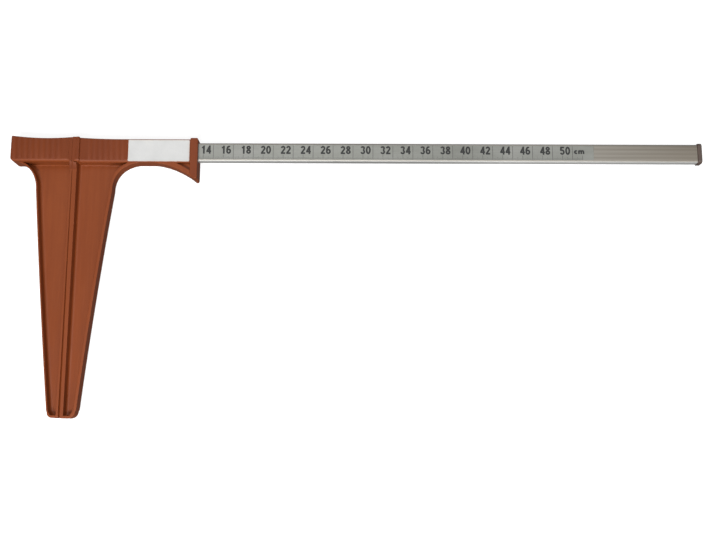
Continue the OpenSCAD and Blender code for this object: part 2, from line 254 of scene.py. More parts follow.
def clean_loop(pts):
    out = []
    for p in pts:
        if not out or math.dist(p, out[-1]) > 1e-4:
            out.append(p)
    if math.dist(out[0], out[-1]) < 1e-4:
        out.pop()
    area = sum(a[0] * b[1] - b[0] * a[1] for a, b in zip(out, out[1:] + out[:1]))
    return out if area > 0 else out[::-1]


def extrude(pts, lo, hi, to3d):
    pts = clean_loop(pts)
    n = len(pts)
    verts = [to3d(p, lo) for p in pts] + [to3d(p, hi) for p in pts]
    faces = [tuple(range(n - 1, -1, -1)), tuple(range(n, 2 * n))]
    faces += [(i, (i + 1) % n, n + (i + 1) % n, n + i) for i in range(n)]
    return make(verts, faces)


def loft(pts, stations, to3d, weight=None, rnd=None):
    """A closed solid through insets of one outline at several heights, its corners rounded by rnd."""
    pts = clean_loop(pts)
    m, verts = len(stations), []
    for h, d in stations:
        ring = offset(pts, d, weight) if abs(d) > 1e-9 else pts
        if rnd:
            ring = fillet(ring, lambda b: max(0.04, (rnd(b) if callable(rnd) else rnd) - d))
        verts += [to3d(p, h) for p in ring]
    n = len(verts) // m
    faces = [tuple(range(n - 1, -1, -1)), tuple(range((m - 1) * n, m * n))]
    for k in range(m - 1):
        for i in range(n):
            j = (i + 1) % n
            faces.append((k * n + i, k * n + j, (k + 1) * n + j, (k + 1) * n + i))
    return make(verts, faces)


def plate(pts, z0, z1):
    return extrude(pts, z0, z1, lambda p, h: (p[0], p[1], h))


def loft_z(pts, stations, weight=None, rnd=None):
    return loft(pts, stations, lambda p, h: (p[0], p[1], h), weight, rnd)


def loft_x(pts, stations, zc=ZC, weight=None, rnd=None):
    return loft(pts, stations, lambda p, h: (h, p[0], p[1] + zc), weight, rnd)


def along_x(pts, x0, x1, zc=ZC):
    return extrude(pts, x0, x1, lambda p, h: (h, p[0], p[1] + zc))


def along_y(pts, y0, y1):
    o = extrude(pts, y0, y1, lambda p, h: (p[0], h, p[1]))
    o.data.flip_normals()
    return o


def block(x0, x1, y0, y1, z0, z1):
    return plate(rect(x0, x1, y0, y1), z0, z1)


def circle(r, n=40, cx=0.0, cy=0.0):
    return [(cx + r * math.cos(TAU * i / n), cy + r * math.sin(TAU * i / n)) for i in range(n)]


def bake(o):
    """Applies the modifiers of o."""
    dg = bpy.context.evaluated_depsgraph_get()
    dg.update()
    me = bpy.data.meshes.new_from_object(o.evaluated_get(dg), preserve_all_data_layers=True, depsgraph=dg)
    o.modifiers.clear()
    old, o.data = o.data, me
    bpy.data.meshes.remove(old)
    return o


def combine(base, others, op):
    for x in others:
        m = base.modifiers.new("b", "BOOLEAN")
        m.operation, m.solver, m.object = op, "EXACT", x
        bake(base)
        bpy.data.objects.remove(x)
    return base


def tidy(o, angle=0.0012, dist=0.0008):
    bm = bmesh.new()
    bm.from_mesh(o.data)
    bmesh.ops.remove_doubles(bm, verts=bm.verts, dist=dist)
    bmesh.ops.dissolve_degenerate(bm, dist=dist, edges=bm.edges)
    bmesh.ops.dissolve_limit(bm, angle_limit=angle, verts=bm.verts, edges=bm.edges)
    bmesh.ops.recalc_face_normals(bm, faces=bm.faces)
    bm.to_mesh(o.data)
    bm.free()
    return o


def soften(o, rule, segments=3, limit=22.0, most=2.0):
    """Rounds the edges of o. rule(middle, a, b, angle, concave) gives each edge's radius in mm."""
    bm = bmesh.new()
    bm.from_mesh(o.data)
    layer = bm.edges.layers.float.get("bevel_weight_edge") or bm.edges.layers.float.new("bevel_weight_edge")
    for ed in bm.edges:
        w = 0.0
        if len(ed.link_faces) == 2:
            a = math.degrees(ed.calc_face_angle(0.0))
            if a > limit:
                p, q = ed.verts[0].co, ed.verts[1].co
                w = rule((p + q) / 2, p, q, a, ed.calc_face_angle_signed(0.0) < 0)
        ed[layer] = min(1.0, w / most)
    bm.to_mesh(o.data)
    bm.free()
    m = o.modifiers.new("bevel", "BEVEL")
    m.limit_method, m.width, m.segments = "WEIGHT", most, segments
    m.use_clamp_overlap, m.loop_slide, m.profile = False, True, 0.5
    return bake(o)


def place(o, name, body, replaces=(), material=None, sharp=32.0, weighted=True):
    """Turns the finished millimetre mesh into a piece in metres that rides on its body."""
    bm = bmesh.new()
    bm.from_mesh(o.data)
    bmesh.ops.remove_doubles(bm, verts=bm.verts, dist=0.0004)
    bmesh.ops.dissolve_degenerate(bm, dist=0.0004, edges=bm.edges)
    for f in bm.faces:
        f.smooth = True
    for ed in bm.edges:
        ed.smooth = not (len(ed.link_faces) == 2 and ed.calc_face_angle(0.0) > math.radians(sharp))
    layer = bm.edges.layers.float.get("bevel_weight_edge")
    if layer:
        bm.edges.layers.float.remove(layer)
    bm.to_mesh(o.data)
    bm.free()
    o.data.transform(Matrix.Scale(MM, 4))
    o.name = name
    o.data.name = name
    WORK.objects.unlink(o)
    bpy.context.scene.collection.objects.link(o)
    o.data.materials.clear()
    if material:
        o.data.materials.append(material)
    if weighted:
        m = o.modifiers.new("normals", "WEIGHTED_NORMAL")
        m.keep_sharp, m.weight, m.mode = True, 60, "FACE_AREA"
        bake(o)
        o.data.name = name
    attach(o, body)
    if replaces:
        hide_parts(*replaces)
    return o


# ---- materials ----------------------------------------------------------------


class Nodes:
    def __init__(self, name):
        self.mat = bpy.data.materials.new(name)
        self.mat.use_nodes = True
        self.t = self.mat.node_tree
        self.t.nodes.clear()
        self.out = self.t.nodes.new("ShaderNodeOutputMaterial")
        self.bsdf = self.t.nodes.new("ShaderNodeBsdfPrincipled")
        self.t.links.new(self.bsdf.outputs[0], self.out.inputs[0])
        self.co = self.t.nodes.new("ShaderNodeTexCoord").outputs["Object"]

    def set(self, **kw):
        for k, v in kw.items():
            self.bsdf.inputs[k.replace("_", " ")].default_value = v

    def link(self, a, b):
        self.t.links.new(a, b)

    def mapping(self, scale=(1, 1, 1), loc=(0, 0, 0), rot=(0, 0, 0)):
        m = self.t.nodes.new("ShaderNodeMapping")
        m.inputs["Scale"].default_value = scale
        m.inputs["Location"].default_value = loc
        m.inputs["Rotation"].default_value = rot
        self.link(self.co, m.inputs["Vector"])
        return m.outputs[0]

    def noise(self, scale, detail=3.0, rough=0.5, vec=None, distortion=0.0, kind="FBM"):
        n = self.t.nodes.new("ShaderNodeTexNoise")
        n.inputs["Scale"].default_value = scale
        n.inputs["Detail"].default_value = detail
        n.inputs["Roughness"].default_value = rough
        n.inputs["Distortion"].default_value = distortion
        self.link(vec if vec is not None else self.co, n.inputs["Vector"])
        return n.outputs["Fac"]

    def voronoi(self, scale, vec=None, feature="F1", smooth=0.5, rand=1.0):
        n = self.t.nodes.new("ShaderNodeTexVoronoi")
        n.feature = feature
        n.inputs["Scale"].default_value = scale
        n.inputs["Randomness"].default_value = rand
        self.link(vec if vec is not None else self.co, n.inputs["Vector"])
        return n.outputs["Distance"]

    def ramp(self, fac, stops):
        r = self.t.nodes.new("ShaderNodeValToRGB")
        el = r.color_ramp.elements
        while len(el) < len(stops):
            el.new(0.5)
        for e, (p, c) in zip(el, stops):
            e.position = p
            e.color = c if isinstance(c, tuple) else (c, c, c, 1)
        self.link(fac, r.inputs[0])
        return r.outputs[0]

    def span(self, fac, a, b, c, d):
        m = self.t.nodes.new("ShaderNodeMapRange")
        for k, v in zip(("From Min", "From Max", "To Min", "To Max"), (a, b, c, d)):
            m.inputs[k].default_value = v
        self.link(fac, m.inputs[0])
        return m.outputs[0]

    def math(self, op, a, b=None, clamp=False):
        m = self.t.nodes.new("ShaderNodeMath")
        m.operation, m.use_clamp = op, clamp
        for i, x in enumerate((a, b)):
            if x is None:
                continue
            if isinstance(x, (int, float)):
                m.inputs[i].default_value = x
            else:
                self.link(x, m.inputs[i])
        return m.outputs[0]

    def mix(self, fac, a, b, mode="MIX"):
        m = self.t.nodes.new("ShaderNodeMix")
        m.data_type, m.blend_type = "RGBA", mode
        for s, x in ((m.inputs[0], fac), (m.inputs[6], a), (m.inputs[7], b)):
            if isinstance(x, (int, float, tuple)):
                s.default_value = x
            else:
                self.link(x, s)
        return m.outputs[2]

    def xyz(self, vec=None):
        s = self.t.nodes.new("ShaderNodeSeparateXYZ")
        self.link(vec if vec is not None else self.co, s.inputs[0])
        return s.outputs

    def normal_z(self):
        g = self.t.nodes.new("ShaderNodeNewGeometry")
        s = self.t.nodes.new("ShaderNodeSeparateXYZ")
        self.link(g.outputs["Normal"], s.inputs[0])
        return s.outputs

    def edge(self, radius):
        """0 on faces, up to 1 along convex and concave edges."""
        b = self.t.nodes.new("ShaderNodeBevel")
        b.samples = 4
        b.inputs["Radius"].default_value = radius
        g = self.t.nodes.new("ShaderNodeNewGeometry")
        d = self.t.nodes.new("ShaderNodeVectorMath")
        d.operation = "DOT_PRODUCT"
        self.link(b.outputs[0], d.inputs[0])
        self.link(g.outputs["Normal"], d.inputs[1])
        return self.span(d.outputs["Value"], 0.995, 0.80, 0.0, 1.0)

    def bump(self, height, strength, distance, below=None):
        b = self.t.nodes.new("ShaderNodeBump")
        b.inputs["Strength"].default_value = strength
        b.inputs["Distance"].default_value = distance
        self.link(height, b.inputs["Height"])
        if below is not None:
            self.link(below, b.inputs["Normal"])
        return b.outputs[0]

    def base(self, x):
        self.link(x, self.bsdf.inputs["Base Color"])

    def rough(self, x):
        self.link(x, self.bsdf.inputs["Roughness"])

    def normal(self, x):
        self.link(x, self.bsdf.inputs["Normal"])


def lin(r, g, b, k=1.0):
    f = lambda v: ((v / 255 + 0.055) / 1.055) ** 2.4 if v > 10 else v / 255 / 12.92
    return (f(r) * k, f(g) * k, f(b) * k, 1.0)


def jaw_plastic(name, seed, tone):
    n = Nodes(name)
    big = n.noise(9.0, 3.0, 0.55, n.mapping((1.0, 0.55, 1.0), (seed, seed * 2.1, 0)))
    mid = n.noise(70.0, 4.0, 0.6, n.mapping((1.0, 0.5, 1.0), (seed * 3, 0, seed)))
    # long flow lines of the moulding, down the jaws and across the heads
    flow = n.noise(210.0, 3.0, 0.55, n.mapping((1.0, 0.035, 0.6), (seed * 5, 0, 0)))
    fine = n.noise(620.0, 2.0, 0.5, n.mapping((1.0, 0.05, 1.0), (0, seed, 0)))
    a, b, c = lin(109, 50, 19, tone), lin(114, 54, 22, tone), lin(119, 58, 26, tone)
    col = n.ramp(big, [(0.30, a), (0.52, b), (0.74, c)])
    col = n.mix(n.span(mid, 0.35, 0.7, 0.0, 0.30), col, lin(104, 47, 18, tone))
    col = n.mix(n.span(flow, 0.42, 0.68, 0.0, 0.35), col, lin(101, 45, 18, tone))
    col = n.mix(n.span(fine, 0.5, 0.75, 0.0, 0.20), col, lin(127, 65, 33, tone))
    # painted shade: the upward faces of the heads are darkened in patches, their rounded edges are not
    _, _, z = n.xyz()
    _, _, up = n.normal_z()
    head = n.math("MULTIPLY", n.span(z, 0.0172, 0.0176, 0.0, 1.0), n.span(up, 0.86, 0.97, 0.0, 1.0))
    head_shade_patches = n.span(n.noise(34.0, 3.0, 0.55, n.mapping((1.0, 0.8, 1.0), (seed, 0, 0))), 0.3, 0.7, 0.75, 1.0)
    col = n.mix(n.math("MULTIPLY", head, head_shade_patches), col, lin(226, 216, 206), "MULTIPLY")
    # wear and painted highlight: convex and concave edges turn paler, partly as rubbing, partly as the light they
    # catch; small dark specks sit in the surface
    worn_and_sheen_edges = n.math("MULTIPLY", n.edge(0.0007), n.span(n.noise(120.0, 4.0, 0.6), 0.35, 0.65, 0.25, 1.0))
    col = n.mix(n.math("MULTIPLY", worn_and_sheen_edges, 0.35), col, lin(142, 78, 44, tone))
    specks = n.span(n.voronoi(420.0), 0.10, 0.05, 0.0, 0.30)
    col = n.mix(specks, col, lin(74, 36, 22, tone))
    n.base(col)
    n.rough(n.math("ADD", n.span(mid, 0.3, 0.7, 0.42, 0.52), n.math("MULTIPLY", worn_and_sheen_edges, 0.08)))
    n.set(Specular_IOR_Level=0.22)
    grain = n.noise(2600.0, 2.0, 0.6)
    sink = n.noise(95.0, 1.0, 0.5, n.mapping((1.0, 0.06, 0.3), (seed * 2, 0, 0)))
    nb = n.bump(sink, 0.30, 0.0003)
    nb = n.bump(grain, 0.14, 0.00006, nb)
    n.normal(nb)
    return n.mat


def aluminium(name):
    n = Nodes(name)
    # drawn and anodised: lines run along X
    lines = n.noise(1500.0, 3.0, 0.6, n.mapping((0.0025, 1.0, 1.0)))
    broad = n.noise(260.0, 2.0, 0.5, n.mapping((0.003, 1.0, 1.0), (0.3, 0, 0)))
    cloud = n.noise(14.0, 3.0, 0.5, n.mapping((0.6, 1.0, 1.0)))
    x, _, _ = n.xyz()
    _, ny, _ = n.normal_z()
    col = n.ramp(lines, [(0.32, lin(122, 118, 110)), (0.5, lin(136, 132, 124)), (0.68, lin(150, 147, 140))])
    col = n.mix(n.span(broad, 0.35, 0.7, 0.0, 0.30), col, lin(112, 108, 99))
    # painted shade: darker towards the far end, standing in for the light falling off along the rule
    far_end_shade = n.math("MULTIPLY", n.span(x, 0.50, 0.63, 0.0, 1.0), n.span(cloud, 0.3, 0.7, 0.75, 1.0))
    col = n.mix(far_end_shade, col, lin(203, 194, 184), "MULTIPLY")
    # painted highlight: the narrow sides are made brighter, by an amount that changes along the rule
    side = n.span(n.math("ABSOLUTE", ny), 0.30, 0.80, 0.0, 1.0)
    side_sheen = n.ramp(n.span(x, 0.13, 0.62, 0.0, 1.0), [(0.0, lin(178, 178, 176)), (0.3, lin(150, 150, 148)),
                                                      (0.45, lin(158, 158, 156)), (0.62, lin(192, 192, 190)),
                                                      (1.0, lin(186, 186, 184))])
    col = n.mix(n.math("MULTIPLY", side, n.span(broad, 0.3, 0.7, 0.8, 1.0)), col, side_sheen)
    dust = n.span(n.voronoi(300.0), 0.09, 0.04, 0.0, 0.4)
    col = n.mix(dust, col, lin(100, 96, 90))
    n.base(col)
    n.set(Metallic=0.45, Specular_IOR_Level=0.4)
    n.rough(n.math("ADD", n.span(lines, 0.3, 0.7, 0.40, 0.52), n.span(cloud, 0.3, 0.7, -0.02, 0.04)))
    nb = n.bump(lines, 0.22, 0.00004)
    nb = n.bump(n.noise(900.0, 2.0, 0.5, n.mapping((0.02, 1.0, 1.0), (0, 0.4, 0))), 0.15, 0.00003, nb)
    n.normal(nb)
    return n.mat


def strip_foil(name):
    n = Nodes(name)
    lines = n.noise(1400.0, 2.0, 0.55, n.mapping((0.004, 1.0, 1.0)))
    blot = n.noise(38.0, 4.0, 0.6, n.mapping((0.5, 1.0, 1.0)))
    fine = n.noise(420.0, 3.0, 0.6)
    col = n.ramp(blot, [(0.3, lin(124, 125, 119)), (0.55, lin(133, 134, 129)), (0.75, lin(142, 142, 138))])
    col = n.mix(n.span(lines, 0.4, 0.7, 0.0, 0.30), col, lin(106, 108, 102))
    col = n.mix(n.span(fine, 0.5, 0.75, 0.0, 0.18), col, lin(150, 151, 146))
    n.base(col)
    n.set(Metallic=0.55, Specular_IOR_Level=0.5)
    n.rough(n.span(blot, 0.3, 0.7, 0.36, 0.48))
    n.normal(n.bump(fine, 0.10, 0.00003))
    return n.mat


def ink(name):
    n = Nodes(name)
    wear = n.noise(900.0, 4.0, 0.65)
    col = n.ramp(wear, [(0.25, lin(16, 17, 17)), (0.62, lin(30, 31, 30)), (0.8, lin(70, 72, 70))])
    n.base(col)
    n.rough(n.span(wear, 0.3, 0.7, 0.42, 0.6))
    return n.mat


def cap_plastic(name):
    n = Nodes(name)
    mid = n.noise(160.0, 4.0, 0.6)
    col = n.ramp(mid, [(0.3, lin(60, 47, 40)), (0.55, lin(71, 56, 49)), (0.75, lin(83, 67, 59))])
    # wear and painted highlight: convex and concave edges turn paler, partly as rubbing, partly as the light they
    # catch
    worn_and_sheen_edges = n.math("MULTIPLY", n.edge(0.0007), n.span(n.noise(400.0, 3.0, 0.6), 0.4, 0.65, 0.2, 1.0))
    col = n.mix(n.math("MULTIPLY", worn_and_sheen_edges, 0.35), col, lin(140, 96, 78))
    n.base(col)
    n.rough(n.span(mid, 0.3, 0.7, 0.42, 0.55))
    n.normal(n.bump(n.noise(2400.0, 2.0, 0.6), 0.18, 0.00006))
    return n.mat


def paper(name):
    n = Nodes(name)
    fibre = n.noise(900.0, 5.0, 0.65, n.mapping((1.0, 0.6, 1.0)))
    cloud = n.noise(45.0, 3.0, 0.5)
    col = n.ramp(cloud, [(0.3, lin(176, 176, 175)), (0.6, lin(184, 184, 183)), (0.8, lin(190, 189, 186))])
    col = n.mix(n.span(fibre, 0.45, 0.8, 0.0, 0.22), col, lin(166, 165, 163))
    # handled edges are a little creamy
    x, y, _ = n.xyz()
    ex = n.span(n.math("ABSOLUTE", n.math("SUBTRACT", x, 0.0860)), 0.0288, 0.0306, 0.0, 1.0)
    ey = n.span(n.math("ABSOLUTE", n.math("SUBTRACT", y, 0.000225)), 0.0096, 0.0111, 0.0, 1.0)
    rim = n.math("MAXIMUM", ex, ey, True)
    grime = n.math("MULTIPLY", rim, n.span(n.noise(240.0, 4.0, 0.6), 0.3, 0.7, 0.2, 0.9))
    col = n.mix(n.math("MULTIPLY", grime, 0.55), col, lin(182, 164, 144))
    n.base(col)
    n.rough(n.span(fibre, 0.3, 0.7, 0.48, 0.62))
    n.set(Specular_IOR_Level=0.35)
    nb = n.bump(n.noise(60.0, 2.0, 0.5), 0.25, 0.0001)
    n.normal(n.bump(fibre, 0.12, 0.00004, nb))
    return n.mat


def acetal(name):
    n = Nodes(name)
    mid = n.noise(220.0, 4.0, 0.6)
    col = n.ramp(mid, [(0.3, lin(214, 210, 198)), (0.7, lin(232, 229, 219))])
    rub = n.noise(800.0, 3.0, 0.6, n.mapping((0.02, 1.0, 1.0)))
    col = n.mix(n.span(rub, 0.5, 0.75, 0.0, 0.35), col, lin(176, 172, 162))
    n.base(col)
    n.rough(n.span(rub, 0.3, 0.7, 0.30, 0.48))
    n.set(Subsurface_Weight=0.0)
    n.normal(n.bump(rub, 0.12, 0.00004))
    return n.mat


def zinc(name):
    n = Nodes(name)
    mid = n.noise(700.0, 4.0, 0.6)
    col = n.ramp(mid, [(0.3, lin(150, 150, 146)), (0.55, lin(178, 178, 176)), (0.8, lin(204, 204, 202))])
    col = n.mix(n.span(n.noise(260.0, 3.0, 0.6), 0.55, 0.8, 0.0, 0.5), col, lin(132, 128, 112))
    n.base(col)
    n.set(Metallic=1.0)
    n.rough(n.span(mid, 0.3, 0.7, 0.24, 0.42))
    n.normal(n.bump(n.noise(2600.0, 2.0, 0.5), 0.12, 0.00003))
    return n.mat


def core(name):
    n = Nodes(name)
    mid = n.noise(260.0, 4.0, 0.6)
    n.base(n.ramp(mid, [(0.3, lin(44, 44, 46)), (0.7, lin(64, 64, 66))]))
    n.rough(n.span(mid, 0.3, 0.7, 0.5, 0.65))
    n.normal(n.bump(n.noise(1800.0, 2.0, 0.6), 0.15, 0.00006))
    return n.mat


M_FIXED = jaw_plastic("terracotta_fixed", 1.3, 1.0)
M_SLIDE = jaw_plastic("terracotta_slide", 4.7, 1.03)
M_RULE = aluminium("rule_aluminium")
M_STRIP = strip_foil("scale_foil")
M_INK = ink("scale_ink")
M_CAP = cap_plastic("cap_plastic")
M_PAPER = paper("label_paper")
M_PAD = acetal("glide_plastic")
M_ZINC = zinc("zinc_steel")
M_CORE = core("core_plastic")

# ---- fixed jaw -----------------------------------------------------------------

FLUTE, FLUTE_DEPTH = 5.6, 0.15    # faint upright flutes on the front of the heads


def corner_cut(x0, x1, top, r):
    """What the rounding of the lower front edge of a head takes away."""
    pts = [(-LOW - 1, top + 1), (-LOW - 1, top - r)] + arc(-LOW + r - 0.02, top - r + 0.02, r, 180, 90, 6)
    return along_x(pts + [(-LOW + r, top + 1)], x0, x1, 0)


def flutes(x0, x1, top, phase):
    """Cutter whose wavy underside leaves shallow upright flutes between x0 and x1."""
    wave = lambda x: top + 0.015 - FLUTE_DEPTH * (0.5 - 0.5 * math.cos(TAU * (x - phase) / FLUTE))
    a = phase + math.ceil((x0 - phase) / FLUTE) * FLUTE
    n = int((x1 - a) / FLUTE) * 12
    pts = [(a + FLUTE * i / 12, wave(a + FLUTE * i / 12)) for i in range(n + 1)]
    return along_y(pts + [(pts[-1][0], top + 2), (pts[0][0], top + 2)], -16, 20)


def floor_fillet(x0, x1, r=1.7):
    """Hollow fillet between the floor of a tray and the underside of its head."""
    pts = [(-LOW + 0.5, PZ1 - 0.5), (-LOW - r, PZ1 - 0.5)] + arc(-LOW - r + 0.05, PZ1 + r - 0.05, r, -90, 0, 7)
    return along_x(pts + [(-LOW + 0.5, PZ1 + r)], x0, x1, 0)


RAMP = [(-LOW + 1, 0.6 - ZC), (-LOW, 0.6 - ZC), (-20, JZ0 - ZC), (-20, JZ1 - ZC), (-LOW, WALL_TOP - ZC),
        (-LOW + 1, WALL_TOP - ZC)]
CHEEK = [(HIGH + 1.5, 0.6 - ZC)] + RAMP[1:-1] + [(HIGH + 1.5, WALL_TOP - ZC)]


def gentle(side, small):
    """Weight of the roundings: small along the contact plane at side, full elsewhere."""
    return lambda a, b: small if abs(a.x - side) < 0.02 and abs(b.x - side) < 0.02 else 1.0


def fixed_casting():
    slab = loft_z(plan_fixed(), steps(JZ0, JZ1, 0.5, 1.0), gentle(-G, 0.08))
    combine(slab, [loft_z(tray_fixed(), open_steps(PZ1, JZ1, 2.8, 0.35, 6))], "DIFFERENCE")
    ramp = loft_x(RAMP, steps(-RIM_IN_F - G, -G + 0.012, 0.4, 0.2))
    head = [(-G, -LOW), (-G, saddle_y(-G))]
    head += [(x, saddle_y(x)) for x in (-G - (61.2 - G) * i / 24 for i in range(1, 25))]
    head += [(-61.2, -LOW)]
    o = loft_z(head, steps(0, HEAD_T, 0.5, 0.8), gentle(-G, 0.25), lambda b: 0.3 if b.x > -1 else (4.0 if b.y < 0 else 1.6))
    combine(o, [corner_cut(-64, 2, HEAD_T, 3.2), block(-WALL_W - G, 2, -30, 30, WALL_TOP - 0.01, 30),
                flutes(-60.0, -WALL_W - G - 0.6, HEAD_T, -60.0)], "DIFFERENCE")
    combine(o, [slab, ramp, floor_fillet(-49.45, -2.0)], "UNION")
    cuts = [along_x(rounded(19.08, 9.08, 2.04), RULE_X0 - 0.04, 1),
            block(-54, -WALL_W - 3, -6.5, 6.5, RZ1 - 1, HEAD_T - 2.6)]
    sink = [(-1, -0.3), (-0.01, -0.3), (0.1, -0.08), (0.3, 0.0)]
    for x in (-46.8, -40.6, -27.9, -21.7, -8.9):
        cuts.append(loft_z(rect(x, x + 4.6, -LOW + 2.4, HIGH - 2.4),
                           sink + [(2.5, 0.0), (2.9, 0.15), (3.2, 0.5)], rnd=0.6))
    for x in SCREW_X:
        cuts.append(loft_z(circle(3.5, 40, x, 0), sink + [(2.7, 0.0)]))
        cuts.append(plate(circle(1.65, 28, x, 0), -1, RZ0 + 1))
    combine(o, cuts, "DIFFERENCE")
    return tidy(o)


fixed = fixed_casting()
place(fixed, "fixed_jaw_moulding", "fixed", ["fixed_jaw"], M_FIXED)

# ---- sliding jaw -----------------------------------------------------------------


def edge_bevel():
    """Cutter for the measuring-edge bevel, slight at the head and full towards the tip."""
    verts = []
    for y, b in ((-300, EDGE_BEVEL + 0.6), (-20, 0.45)):
        verts += [(-1, y, JZ1 - b - 1), (G + b + 1, y, JZ1 + 1), (-1, y, JZ1 + 1)]
    return tidy(make(verts, [(0, 1, 2), (5, 4, 3), (0, 3, 4), (0, 4, 1), (1, 4, 5, 2), (2, 5, 3, 0)]))


def sliding_casting():
    slab = loft_z(plan_slide(), steps(JZ0, JZ1, 0.5, 0.6), gentle(G, 0.14))
    back = [(2 * ZC - z, d) for z, d in open_steps(ZC + 1.5, JZ1, 0.7, 0.3)]
    combine(slab, [loft_z(tray_slide(), open_steps(PZ1, JZ1, 2.8, 0.4, 6)),
                   loft_z(flare_pocket(), open_steps(ZC + 1.5, JZ1, 0.7, 0.3)),
                   loft_z(flare_pocket(), back[::-1]),
                   edge_bevel()], "DIFFERENCE")
    sleeve = [(G + 1, -LOW), (FLANGE_X + 1, -LOW), (FLANGE_X + 1, HIGH)]
    sleeve += [(x, sleeve_top(x)) for x in (FLANGE_X - (FLANGE_X - G - 1) * i / 30 for i in range(31))]
    o = loft_z(sleeve, steps(SZ0, SZ1, 0.5, 0.8), lambda a, b: 0.0 if abs(a.x - b.x) < 1e-4 else 1.0)
    combine(o, [corner_cut(-1, 55.0, SZ1, 3.1), corner_cut(54.9, FLANGE_X + 3, SZ1, 1.15), flutes(9.5, 54.4, SZ1, 8.4)], "DIFFERENCE")
    cheek = loft_x(CHEEK, steps(G - 0.012, G + RIM_IN_S, 0.22, 0.45))
    collar = loft_z(rect(WALL_W + G, COLLAR, -LOW, HIGH + 1.6), steps(0, HEAD_T, 0.4, 0.6), rnd=0.7)
    combine(cheek, [collar], "UNION")
    combine(cheek, [corner_cut(WALL_W + G - 1, COLLAR + 1, HEAD_T, 3.2)], "DIFFERENCE")
    flange = [(FLANGE_X, flare_y(FLANGE_X) + 0.7), (SLEEVE_LEN, flare_y(SLEEVE_LEN)), (SLEEVE_LEN, HIGH + 0.6),
              (FLANGE_X, HIGH + 0.6)]
    flange = loft_z(flange, steps(0, HEAD_T, 0.9, 0.8), rnd=lambda b: 0.9 if b.y > 0 else (1.9 if b.x > 120 else 2.6))
    combine(o, [cheek, slab, floor_fillet(3.5, 56.0), flange], "UNION")
    cuts = [loft_x(rounded(19.7, 9.7, 2.35), [(-1, 0.0), (SLEEVE_LEN - 0.6, 0.0), (SLEEVE_LEN - 0.3, -0.06),
                                              (SLEEVE_LEN - 0.1, -0.25), (SLEEVE_LEN + 0.01, -0.5), (SLEEVE_LEN + 1, -0.5)])]
    pl, pr, n = 3.6, 95.6, 18.0
    for x, y0, y1 in ((pl, 0, 11.05), (pl, -10.5, 0), (pr, 0, 10.85), (pr, -10.95, 0)):
        cuts.append(block(x, x + n, y0, y1, ZC - 2.3, ZC + 2.3))
    for x in (pl, pr):
        cuts.append(block(x, x + n, -7.9, 7.9, RZ0 - 0.35 - 1.2, RZ1 + 0.35 + 1.2))
    cuts.append(along_y(circle(2.0, 28, 5.6, ZC), 10.55, 16))
    cuts.append(along_y(circle(2.0, 28, 100.0, ZC), -20, -10.45))
    combine(o, cuts, "DIFFERENCE")
    return tidy(o)


slider = sliding_casting()
place(slider, "sliding_jaw_moulding", "slider", ["sliding_jaw"], M_SLIDE)

# ---- rule --------------------------------------------------------------------------


def rule_profile():
    o = along_x(rounded(19, 9, 2, 10), RULE_X0, RULE_X1)
    cuts = [along_x(rounded(19 - 2.8, 9 - 2.8, 0.8, 6), RULE_X0 - 1, RULE_X1 + 1),
            block(STRIP_X0, STRIP_X1, -7.4, 7.4, RZ1 - 0.4, RZ1 + 1)]
    cuts += [plate(circle(1.6, 28, x, 0), RZ0 - 1, RZ0 + 2) for x in SCREW_X]
    return tidy(combine(o, cuts, "DIFFERENCE"))


rule = rule_profile()
soften(rule, lambda m, p, q, a, c: 0.08 if m.z > 14.5 and abs(m.y) < 7.5 else 0.2, segments=2, limit=30)
place(rule, "rule_extrusion", "fixed", ["rule_beam"], M_RULE, sharp=30)

# ---- scale strip and its print -------------------------------------------------------

strip = block(STRIP_X0 + 0.04, STRIP_X1 - 0.04, -7.36, 7.36, 14.6, 14.85)
soften(strip, lambda m, p, q, a, c: 0.06, segments=2)
place(strip, "scale_strip_foil", "fixed", ["scale_strip"], M_STRIP)

INK_Z0, INK_Z1 = 14.84, 14.868


def ribbon(path, width, closed=False):
    """Outline quads of a stroke of even width along a path of 2D points."""
    n = len(path)
    left, right = [], []
    for i in range(n):
        a = Vector(path[(i - 1) % n] if closed or i else path[i])
        b = Vector(path[i])
        c = Vector(path[(i + 1) % n] if closed or i < n - 1 else path[i])
        d0 = (b - a).normalized() if (b - a).length > 1e-9 else (c - b).normalized()
        d1 = (c - b).normalized() if (c - b).length > 1e-9 else d0
        t = (d0 + d1).normalized()
        k = 1 / max(0.45, t.dot(d0))
        nrm = Vector((-t.y, t.x)) * (width / 2 * k)
        left.append(b + nrm)
        right.append(b - nrm)
    return left, right


class Print:
    """Collects flat printed shapes and turns them into one thin mesh."""

    def __init__(self):
        self.v, self.f, self.k = [], [], 0

    def quad_strip(self, left, right, closed=False):
        n, base = len(left), len(self.v)
        self.k = (self.k + 1) % 4
        # crossing strokes lie at slightly different heights, so that no two tops share a plane
        for i, p in enumerate(left + right):
            self.v.append((p[0], p[1], INK_Z1 + 0.008 * self.k + 0.006 * (0 if closed else (i % n) / (n - 1))))
        for p in left + right:
            self.v.append((p[0], p[1], INK_Z0))
        m = 2 * n
        for i in range(n if closed else n - 1):
            j = (i + 1) % n
            l0, l1, r0, r1 = base + i, base + j, base + n + i, base + n + j
            self.f += [(l0, r0, r1, l1), (l0 + m, l1 + m, r1 + m, r0 + m),
                       (l0, l1, l1 + m, l0 + m), (r0, r0 + m, r1 + m, r1)]
        if not closed:
            for i in (0, n - 1):
                a, b = base + i, base + n + i
                q = (a, a + m, b + m, b)
                self.f.append(q if i == 0 else q[::-1])

    def stroke(self, path, width, closed=False):
        self.quad_strip(*ribbon(path, width, closed), closed)

    def bar(self, x0, x1, y0, y1):
        self.stroke([((x0 + x1) / 2, y0), ((x0 + x1) / 2, y1)], x1 - x0)


def ell(cx, cy, rx, ry, a0, a1, n=14):
    return [(cx + rx * math.cos(math.radians(a0 + (a1 - a0) * i / n)),
             cy + ry * math.sin(math.radians(a0 + (a1 - a0) * i / n))) for i in range(n + 1)]


